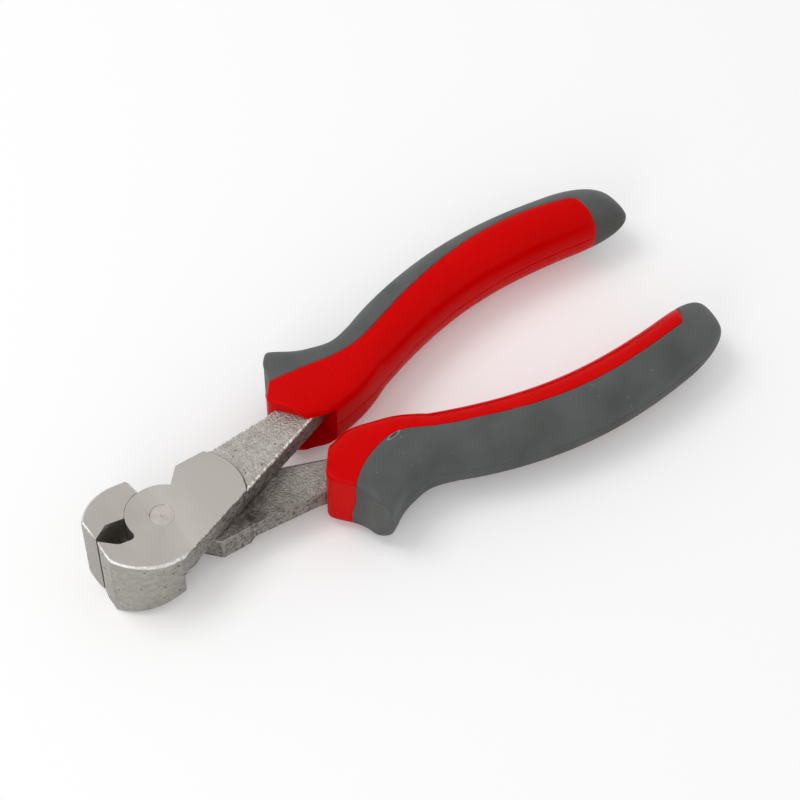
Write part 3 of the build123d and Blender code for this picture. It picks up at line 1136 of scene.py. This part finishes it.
@dataclass
class Split:
    """A closed surface cut in two where a field passes zero.

    A triangle that the field crosses becomes one small triangle at the corner
    that is alone on its side and two that share the rest, with new points where
    the field is zero along its sides.
    """

    triangles: np.ndarray
    field_values: np.ndarray                    # one for each point
    ends: np.ndarray = field(init=False)        # the two old points beside each new one
    share: np.ndarray = field(init=False)       # and how far it is from the first
    above: np.ndarray = field(init=False)       # triangles where the field is positive
    below: np.ndarray = field(init=False)
    border: np.ndarray = field(init=False)      # sides between the two, above on the left

    def __post_init__(self) -> None:
        """Cut the triangles once."""
        count = len(self.field_values)
        over = self.field_values >= 0.0
        state = over[self.triangles]
        number = state.sum(axis=1)
        mixed = self.triangles[(number == 1) | (number == 2)]
        lone = np.where(over[mixed].sum(axis=1, keepdims=True) == 1, over[mixed], ~over[mixed])
        first = lone.argmax(axis=1)
        rows = np.arange(len(mixed))
        a = mixed[rows, first]
        b = mixed[rows, (first + 1) % 3]
        c = mixed[rows, (first + 2) % 3]
        sides = np.concatenate([np.stack([a, b], axis=1), np.stack([a, c], axis=1)])
        sides.sort(axis=1)
        self.ends, label = np.unique(sides, axis=0, return_inverse=True)
        label = label.reshape(-1) + count
        p, q = label[: len(mixed)], label[len(mixed) :]
        low, high = self.field_values[self.ends].T
        self.share = (low / (low - high))[:, None]
        tip = np.stack([a, p, q], axis=1)
        rest = np.stack([p, b, c, p, c, q], axis=1)
        alone = over[a]
        self.above = np.concatenate(
            [self.triangles[number == 3], tip[alone], rest[~alone].reshape(-1, 3)]
        )
        self.below = np.concatenate(
            [self.triangles[number == 0], tip[~alone], rest[alone].reshape(-1, 3)]
        )
        self.border = np.where(alone[:, None], np.stack([p, q], axis=1), np.stack([q, p], axis=1))

    def extend(self, values: np.ndarray) -> np.ndarray:
        """Add the new points' values to those of the old points.

        Args:
            values: One row for each old point.

        Returns:
            The same rows, followed by one for each new point.
        """
        low, high = values[self.ends[:, 0]], values[self.ends[:, 1]]
        share = self.share if values.ndim > 1 else self.share[:, 0]
        return np.concatenate([values, low + (high - low) * share])


@dataclass
class Grip:
    """A moulded grip: a hard core round the tang and a soft cover over it.

    The outer surface is a row of sections along X.  In each, a point at polar
    angle a stands at centre + half_width r cos a and half_height r sin a, where
    |r cos a|^m + |r sin a|^n = 1.  The surface is cut along the cover's edge:
    its outer side and end, with an inner skin behind them, are the cover, and
    the rest, with the skin, is the core.
    """

    side: Side
    # front of the collar and of the thumb guard, in plan
    collar_corner: tuple[float, float] = (41.8, 3.9)
    collar_run_out: tuple[float, float] = (4.35, -6.0)     # from it, past the collar's side
    collar_nose: tuple[float, float] = (35.5, 12.6)
    guard_root: tuple[float, float] = (40.1, 18.8)
    guard_face: tuple[float, float] = (41.5, 24.9)
    front_end: tuple[float, float] = (45.3, 29.6)
    front_rounds: tuple[float, float, float] = (3.0, 6.0, 3.0)
    collar_round: float = 1.0
    guard_round: float = 2.8        # of the guard's front edge, top and bottom
    guard_start_y: float = 18.0
    guard_full_y: float = 23.0
    # sections ahead of the bow: x, inner side, outer side, squareness
    front_sections: tuple[tuple[float, float, float, float], ...] = (
        (34.4, 3.9, 27.8, 5.0),
        (43.4, 3.9, 27.8, 5.0),
        (46.5, 3.0, 26.2, 5.0),
        (50.0, 3.2, 24.0, 5.0),
        (54.0, 4.0, 22.7, 4.3),
        (58.5, 5.0, 22.0, 3.6),
    )
    # sections along the bow: x, middle past the bow line, half width
    bow_sections: tuple[tuple[float, float, float], ...] = (
        (66.0, 0.3, 8.35),
        (78.0, 0.1, 8.35),
        (92.0, 0.1, 8.1),
        (106.0, 0.1, 7.85),
        (120.0, 0.0, 7.55),
        (131.0, 0.0, 7.3),
        (143.4, 0.4, 7.5),
    )
    outer_squareness: float = 2.1
    guard_squareness: float = 2.9   # the outer side's, at the guard
    guard_end_x: float = 51.0       # and the place where it is gone
    grip_squareness: float = 2.3
    face_tilt: float = 0.12         # the collar's face side falls by this share outwards
    tilt_most: float = 0.8
    tilt_start_x: float = 38.0
    tilt_end_x: float = 52.0
    close_side: float = 0.47        # power of the closing cosine, across
    close_top: float = 1.03         # and up: less is blunter
    end_slant: float = 0.24         # the end's outer side stands this far back
    # the bow
    bow_x: float = 108.0
    bow_reach: float = 24.9
    bow_radius: float = 102.0
    tail_radius: float = 135.0
    half_height: float = 8.6
    tail_x: float = 128.1
    end_x: float = 144.3
    # cover and bare panel
    cover_thickness: float = 1.8
    cover_end: float = 5.0
    cover_rim: float = 0.4          # rounding of the inner skin's front edges
    panel_end_x: float = 132.0
    panel_corner: float = 1.4
    panel_slant: float = 1.1        # the panel ends this much further back on the face side
    panel_lean: float = 2.0         # and at the inner side than along the middle
    panel_half: float = 7.5
    face_edge: tuple[tuple[float, float], ...] = ((38, 17.9), (50, 16.4), (61, 15.7))
    face_edge_bow: tuple[tuple[float, float], ...] = (
        (75, 0.6), (90, 1.4), (107, 2.5), (120, 2.4), (133.4, 0.9),
    )
    back_edge: tuple[tuple[float, float], ...] = (
        (38, 20.6), (44, 15.3), (50, 12.3), (57, 11.4), (64, 14.6),
    )
    back_edge_bow: tuple[tuple[float, float], ...] = (
        (72, -0.6), (88, -0.3), (108, -0.1), (133.4, -0.2),
    )
    edge_turn: float = 4.0          # the edge turns from back to face within this of the middle
    groove: float = 0.20            # rounding of core and cover along the edge between them
    parting: float = 0.16           # depth of the mould's parting line
    # hollow beside and under the tang in the collar, from the lap plane
    hollow_roof: float = 5.9
    hollow_floor: float = 6.4
    hollow_end_x: float = 49.0
    hollow_side_y: float = 9.5
    hollow_corner: float = 2.0
    hollow_free_corner: float = 0.01        # ahead of the collar, where it cuts nothing
    hollow_overrun: float = 4.0     # the cutter stands this far out of the collar
    # fineness of the surface
    around: int = 208
    rim_rows: int = 8
    front_rows: int = 56
    front_end_x: float = 58.0
    bow_rows: int = 200
    end_rows: int = 34
    face_strips: int = 30
    reach_passes: int = 14          # of Newton's method, for the section's r
    front_passes: int = 6           # to find where the collar's outline has a point's y
    sharp_shading: float = 50.0     # degrees

    def bow_line(self, x: np.ndarray) -> np.ndarray:
        """Distance of the handle's middle line from the tool's middle: two arcs."""
        radius = np.where(x < self.bow_x, self.bow_radius, self.tail_radius)
        return self.bow_reach - radius + np.sqrt(radius**2 - (x - self.bow_x) ** 2)

    def section_sizes(self, x: np.ndarray) -> tuple[np.ndarray, np.ndarray, np.ndarray]:
        """Sizes of the sections before the end closes: splines through the inner and outer sides.

        Args:
            x: Places along the grip.

        Returns:
            Middle, half width and squareness at each place.
        """
        ahead, bow = np.array(self.front_sections), np.array(self.bow_sections)
        knots = np.append(ahead[:, 0], bow[:, 0])
        middle = self.bow_line(bow[:, 0]) + bow[:, 1]
        inner = np.append(ahead[:, 1], middle - bow[:, 2])
        outer = np.append(ahead[:, 2], middle + bow[:, 2])
        squareness = np.append(ahead[:, 3], np.full(len(bow), self.grip_squareness))
        inner_at, outer_at = spline(knots, inner, x), spline(knots, outer, x)
        return (inner_at + outer_at) / 2, (outer_at - inner_at) / 2, np.interp(x, knots, squareness)

    def section(
        self, x: np.ndarray, angle: np.ndarray, depth: np.ndarray, close: np.ndarray
    ) -> tuple[np.ndarray, np.ndarray]:
        """Points of the sections.  Newton's method finds r, from a first guess of 1.

        Args:
            x: Place along the grip, one value for each point.
            angle: Polar angle, 0 outwards and a quarter turn up.
            depth: How far inside the outer surface.
            close: Angle of the end's closing arc, 0 along the handle.

        Returns:
            Arrays of y and z.
        """
        middle, half_width, squareness = self.section_sizes(x)
        along, up = np.cos(angle), np.sin(angle)
        at_guard = 1.0 - smooth_step(x, self.guard_face[0], self.guard_end_x)
        outer = self.outer_squareness + (self.guard_squareness - self.outer_squareness) * at_guard
        flat = np.where(along > 0, outer, squareness)
        reach = np.ones_like(x)
        for _ in range(self.reach_passes):
            side_part = np.abs(reach * along) ** flat
            top_part = np.abs(reach * up) ** squareness
            slope = (flat * side_part + squareness * top_part) / reach
            reach = reach - (side_part + top_part - 1.0) / slope
        y = middle + (half_width - depth) * np.cos(close) ** self.close_side * reach * along
        fall = np.clip(self.face_tilt * (y - self.collar_nose[1]), -self.tilt_most, self.tilt_most)
        fall = fall * (1.0 - smooth_step(x, self.tilt_start_x, self.tilt_end_x))
        height = self.half_height - np.where(up > 0, fall, 0.0) - depth
        z = height * np.cos(close) ** self.close_top * reach * up
        return y, z

    def surface(self, skin: Skin) -> tuple[np.ndarray, np.ndarray]:
        """Work out one closed surface of the grip as a grid.

        The rows are, from the front: the rounded rim of the front walls, the
        collar, which starts where the front outline has each point's own y, the
        bow, and the end, whose sections shrink by the cosine of an arc.  The
        front walls close it by straight strips from the rim's top to its bottom.

        Args:
            skin: How far inside the outer surface it lies.

        Returns:
            Points, and for each point the angle of its section.
        """
        run_out = tuple(np.add(self.collar_corner, self.collar_run_out))
        outline = rounded_line(
            [run_out, self.collar_nose, self.guard_root, self.guard_face, self.front_end],
            list(self.front_rounds),
        )
        angle = np.linspace(0.0, 2 * pi, self.around, endpoint=False)
        zero = np.zeros_like(angle)
        front = np.full_like(angle, self.guard_root[0])
        for _ in range(self.front_passes):
            y, z = self.section(front, angle, zero, zero)
            front = np.interp(y, outline[:, 1], outline[:, 0])
        to_guard = smooth_step(y, self.guard_start_y, self.guard_full_y) * np.sin(angle) ** 2
        rim = skin.rim * (1.0 + (self.guard_round / self.collar_round - 1.0) * to_guard)
        front = front + skin.front

        turn = np.linspace(pi / 2, 0.0, self.rim_rows)[:, None]
        rim_x = front + rim * (1.0 - np.sin(turn))
        rim_depth = skin.depth + rim * (1.0 - np.cos(turn))
        share = np.linspace(0.0, 1.0, self.front_rows)[1:, None]
        front_x = rim_x[-1] + (self.front_end_x - rim_x[-1]) * share
        bow_x = np.linspace(self.front_end_x, self.tail_x, self.bow_rows)[1:, None] + zero
        close = np.linspace(0.0, pi / 2, self.end_rows)[1:-1, None]
        tail = self.end_x - skin.end - self.tail_x - self.end_slant * np.cos(angle)
        end_x = self.tail_x + tail * np.sin(close)
        x = np.concatenate([rim_x, front_x, bow_x, end_x])
        open_rows = len(x) - len(end_x)
        depth = np.concatenate([rim_depth, np.full((len(x) - self.rim_rows, self.around), skin.depth)])
        closing = np.concatenate([np.zeros((open_rows, self.around)), close + zero])
        y, z = self.section(x, np.broadcast_to(angle, x.shape), depth, closing)
        tube = np.stack([x, y, z], axis=-1).reshape(-1, 3)

        half = self.around // 2
        top = tube[1:half]
        strip = np.linspace(1.0, -1.0, self.face_strips + 1)[None, 1:-1]
        wall = np.stack(
            [
                np.repeat(top[:, :1], self.face_strips - 1, axis=1),
                np.repeat(top[:, 1:2], self.face_strips - 1, axis=1),
                top[:, 2:3] * strip,
            ],
            axis=-1,
        ).reshape(-1, 3)
        pole = tube[-self.around :].mean(axis=0, keepdims=True)
        angles = np.concatenate(
            [np.tile(angle, len(x)), np.repeat(angle[1:half], self.face_strips - 1), [pi / 2]]
        )
        return np.concatenate([tube, wall, pole]), angles

    def surface_triangles(self) -> np.ndarray:
        """Join the surface's grid.

        Returns:
            Triangles of the tube, the front walls and the end's pole.
        """
        rows = self.rim_rows + self.front_rows - 1 + self.bow_rows - 1 + self.end_rows - 2
        tube = tube_triangles(rows, self.around)
        half = self.around // 2
        inside = rows * self.around + np.arange((half - 1) * (self.face_strips - 1))
        columns = np.concatenate(
            [
                np.arange(1, half)[:, None],
                inside.reshape(half - 1, -1),
                self.around - np.arange(1, half)[:, None],
            ],
            axis=1,
        )
        columns = np.concatenate(
            [
                np.full((1, self.face_strips + 1), 0),
                columns,
                np.full((1, self.face_strips + 1), half),
            ]
        )
        here, down = columns[:-1, :-1], columns[:-1, 1:]
        beside, across = columns[1:, :-1], columns[1:, 1:]
        wall = np.concatenate(
            [
                np.stack([here, down, across], axis=-1).reshape(-1, 3),
                np.stack([here, across, beside], axis=-1).reshape(-1, 3),
            ]
        )
        whole = (wall[:, 0] != wall[:, 1]) & (wall[:, 1] != wall[:, 2]) & (wall[:, 2] != wall[:, 0])
        last = (rows - 1) * self.around + np.arange(self.around)
        pole = rows * self.around + len(inside)
        cap = np.stack([last, np.roll(last, -1), np.full(self.around, pole)], axis=1)
        return np.concatenate([tube, wall[whole], cap])

    def cover_field(self, points: np.ndarray) -> np.ndarray:
        """Distance past the cover's edge, positive on the cover.

        The bare panel lies inside the edge line and ahead of its end, with a
        round corner between the two.  The line differs on the two broad sides
        and turns from one to the other over the middle of the front walls.

        Args:
            points: N x 3 array of points on the outer surface.

        Returns:
            One value for each point.
        """
        x, y, z = points.T
        lines = []
        for ahead, behind in ((self.face_edge, self.face_edge_bow), (self.back_edge, self.back_edge_bow)):
            near, far = np.array(ahead, dtype=float), np.array(behind, dtype=float)
            knots = np.append(near[:, 0], far[:, 0])
            heights = np.append(near[:, 1], far[:, 1] + self.bow_line(far[:, 0]))
            lines.append(spline(knots, heights, np.minimum(x, self.end_x)))
        to_face = smooth_step(z, -self.edge_turn, self.edge_turn)
        inside = lines[0] * to_face + lines[1] * (1.0 - to_face) - y
        inwards = (self.bow_line(x) - y) / self.panel_half
        slant = self.panel_slant * (2.0 * to_face - 1.0) * (1.0 - inwards)
        ahead = self.panel_end_x + slant + self.panel_lean * inwards - x
        corner = self.panel_corner
        rounded = corner - np.hypot(corner - inside, corner - ahead)
        in_corner = (inside < corner) & (ahead < corner)
        return -np.where(in_corner, rounded, np.minimum(inside, ahead))

    def add_parting_line(self, points: np.ndarray, angles: np.ndarray, inwards: np.ndarray) -> np.ndarray:
        """Sink the two rows of points in the mould's middle plane into a fine groove."""
        on_line = np.isclose(np.sin(angles), 0.0, atol=1e-6)
        return points + inwards * (self.parting * on_line)[:, None]

    def hollow_cutter(self) -> bpy.types.Object:
        """Build the solid of the hollow beside and under the tang.

        Returns:
            A plan outline carried straight down, which stands out of the collar
            on two sides.
        """
        front_x = self.collar_nose[0] - self.hollow_overrun
        outline = rounded_line(
            [
                (self.hollow_end_x, -self.hollow_overrun),
                (self.hollow_end_x, self.hollow_side_y),
                (front_x, self.hollow_side_y),
                (front_x, -self.hollow_overrun),
            ],
            [self.hollow_corner, self.hollow_free_corner],
        )
        count = len(outline)
        top = np.column_stack([outline, np.full(count, self.hollow_roof)])
        floor = np.column_stack([outline, np.full(count, -self.hollow_floor)])
        upper = np.arange(count)
        after = np.roll(upper, -1)
        walls = np.column_stack([after, upper, upper + count, after + count])
        faces = [upper.tolist(), (upper + count)[::-1].tolist(), *walls.tolist()]
        mesh = bpy.data.meshes.new("hollow_cutter")
        mesh.from_pydata(self.side.place(np.concatenate([top, floor])) * MM, [], faces)
        return add_object(mesh.name, mesh)

    def build(self, core_finish: bpy.types.Material, cover_finish: bpy.types.Material) -> None:
        """Build the core and the cover of this grip.

        Args:
            core_finish: Material of the hard core.
            cover_finish: Material of the soft cover.
        """
        outer, angles = self.surface(Skin(rim=self.collar_round))
        skin = Skin(self.cover_thickness, self.cover_thickness, self.cover_end, self.cover_rim)
        inner, _ = self.surface(skin)
        inwards = inner - outer
        inwards /= np.linalg.norm(inwards, axis=1, keepdims=True)
        outer = self.add_parting_line(outer, angles, inwards)

        split = Split(self.surface_triangles(), self.cover_field(outer))
        outer, inner, inwards = split.extend(outer), split.extend(inner), split.extend(inwards)
        near = np.clip(np.abs(split.extend(split.field_values)), 0.0, self.groove)
        sink = self.groove - np.sqrt(self.groove**2 - (self.groove - near) ** 2)
        outer = outer + inwards * sink[:, None]

        points = self.side.place(np.concatenate([outer, inner]))
        count = len(outer)
        start, end = split.border.T
        step = np.concatenate(
            [
                np.stack([end, start, start + count], axis=1),
                np.stack([end, start + count, end + count], axis=1),
            ]
        )
        cover = np.concatenate([split.above, split.above[:, ::-1] + count, step])
        core = np.concatenate([split.below, split.above + count, step[:, ::-1]])

        node = self.side.node("grip_cover")
        piece = add_object(f"{node}_moulded", make_mesh(f"{node}_moulded", points, cover))
        piece.data.set_sharp_from_angle(angle=radians(self.sharp_shading))
        finish_piece(piece, self.side.body, node, cover_finish)

        node = self.side.node("grip_core")
        piece = add_object(f"{node}_moulded", make_mesh(f"{node}_moulded", points, core))
        cut_away(piece, self.hollow_cutter())
        piece.data.set_sharp_from_angle(angle=radians(self.sharp_shading))
        finish_piece(piece, self.side.body, node, core_finish)


# ---- studio ---------------------------------------------------------------------------------


@dataclass(frozen=True)
class Lamp:
    """A soft square lamp, in metres and watts."""

    name: str
    place: tuple[float, float, float]
    power: float
    size: float = 0.5


@dataclass
class Studio:
    """Pale floor, even white surroundings, soft lamps and the camera, in metres."""

    eye: tuple[float, float, float] = (-0.1277, -0.2862, 0.4636)
    right: tuple[float, float, float] = (0.8299, -0.5579, 0.0)
    up: tuple[float, float, float] = (0.4494, 0.6685, 0.5926)
    forward: tuple[float, float, float] = (0.3306, 0.4918, -0.8055)
    lens: float = 110.9
    sensor: float = 36.0
    middle: tuple[float, float, float] = (0.065, 0.0, -0.005)
    fill: float = 0.62              # what the surroundings give to matt surfaces
    lamps: tuple[Lamp, ...] = (
        Lamp("key_lamp", (-0.25, 0.35, 0.9), 2.6),
        Lamp("side_lamp", (-0.7, -0.5, 0.5), 1.3),
    )
    floor_half: float = 3.0
    floor_gap: float = 0.0001       # below the tool's lowest point
    floor_colour: Colour = (0.94, 0.94, 0.94, 1.0)
    floor_lift: Colour = (0.15, 0.15, 0.15, 1.0)    # what the paper shines by, to the camera alone

    def add_camera(self) -> None:
        """Place the camera at the photograph's viewing angle."""
        data = bpy.data.cameras.new("camera")
        data.lens = self.lens
        data.sensor_width = self.sensor
        data.sensor_fit = "HORIZONTAL"
        data.clip_start = 0.01
        camera = bpy.data.objects.new("camera", data)
        turn = Matrix((self.right, self.up, [-f for f in self.forward])).transposed().to_4x4()
        camera.matrix_world = Matrix.Translation(self.eye) @ turn
        bpy.context.scene.collection.objects.link(camera)
        bpy.context.scene.camera = camera

    def add_floor(self) -> None:
        """Lay the floor under the tool's lowest point."""
        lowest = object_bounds()[0][2] - self.floor_gap
        half = self.floor_half
        corners = [(x, y, lowest) for x, y in ((-half, -half), (half, -half), (half, half), (-half, half))]
        mesh = bpy.data.meshes.new("floor")
        mesh.from_pydata(corners, [], [(0, 1, 2, 3)])
        r = Recipe("floor_paper")
        grain = r.noise(3.0, 3.0)
        mesh.materials.append(
            r.dress(
                base_color=self.floor_colour,
                roughness=0.9,
                specular_ior_level=0.1,
                normal=r.bump(grain, 0.01),
                emission_color=self.floor_lift,
                emission_strength=r.add("ShaderNodeLightPath").outputs["Is Camera Ray"],
            )
        )
        add_object("floor", mesh)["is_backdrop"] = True

    def add_world(self) -> None:
        """Surround the scene with white that shows in full and lights a little less."""
        world = bpy.data.worlds.new("surroundings")
        bpy.context.scene.world = world
        world.use_nodes = True
        nodes, links = world.node_tree.nodes, world.node_tree.links
        background = nodes["Background"]
        background.inputs["Color"].default_value = (1.0, 1.0, 1.0, 1.0)
        paths = nodes.new("ShaderNodeLightPath")
        shown = nodes.new("ShaderNodeMath")
        shown.operation = "MAXIMUM"
        links.new(paths.outputs["Is Camera Ray"], shown.inputs[0])
        links.new(paths.outputs["Is Glossy Ray"], shown.inputs[1])
        strength = nodes.new("ShaderNodeMapRange")
        strength.inputs["To Min"].default_value = self.fill
        strength.inputs["To Max"].default_value = 1.0
        links.new(shown.outputs[0], strength.inputs["Value"])
        links.new(strength.outputs["Result"], background.inputs["Strength"])

    def add_lamp(self, lamp: Lamp) -> None:
        """Hang a lamp that looks at the tool's middle.

        Args:
            lamp: Its place, size and power.
        """
        data = bpy.data.lights.new(lamp.name, "AREA")
        data.shape = "SQUARE"
        data.size = lamp.size
        data.energy = lamp.power
        hung = bpy.data.objects.new(lamp.name, data)
        hung.location = lamp.place
        look = Vector(self.middle) - Vector(lamp.place)
        hung.rotation_euler = look.to_track_quat("-Z", "Y").to_euler()
        bpy.context.scene.collection.objects.link(hung)

    def build(self) -> None:
        """Set up the whole studio."""
        bpy.context.scene.view_settings.view_transform = "Standard"
        self.add_world()
        self.add_camera()
        self.add_floor()
        for lamp in self.lamps:
            self.add_lamp(lamp)
        log.info("studio ready")


def main() -> None:
    """Build every piece in order."""
    logging.basicConfig(level=logging.INFO, format="%(name)s: %(message)s")
    steel = SteelFinish().make()
    core = CoreFinish().make()
    cover = CoverFinish().make()
    for side in Side:
        Lever(side).build(steel)
    Grip(Side.UPPER).build(core, cover)
    Grip(Side.LOWER, end_x=LOWER_END_X).build(core, cover)
    Rivet().build(RivetFinish().make())
    Studio().build()


if __name__ == "__main__":
    main()
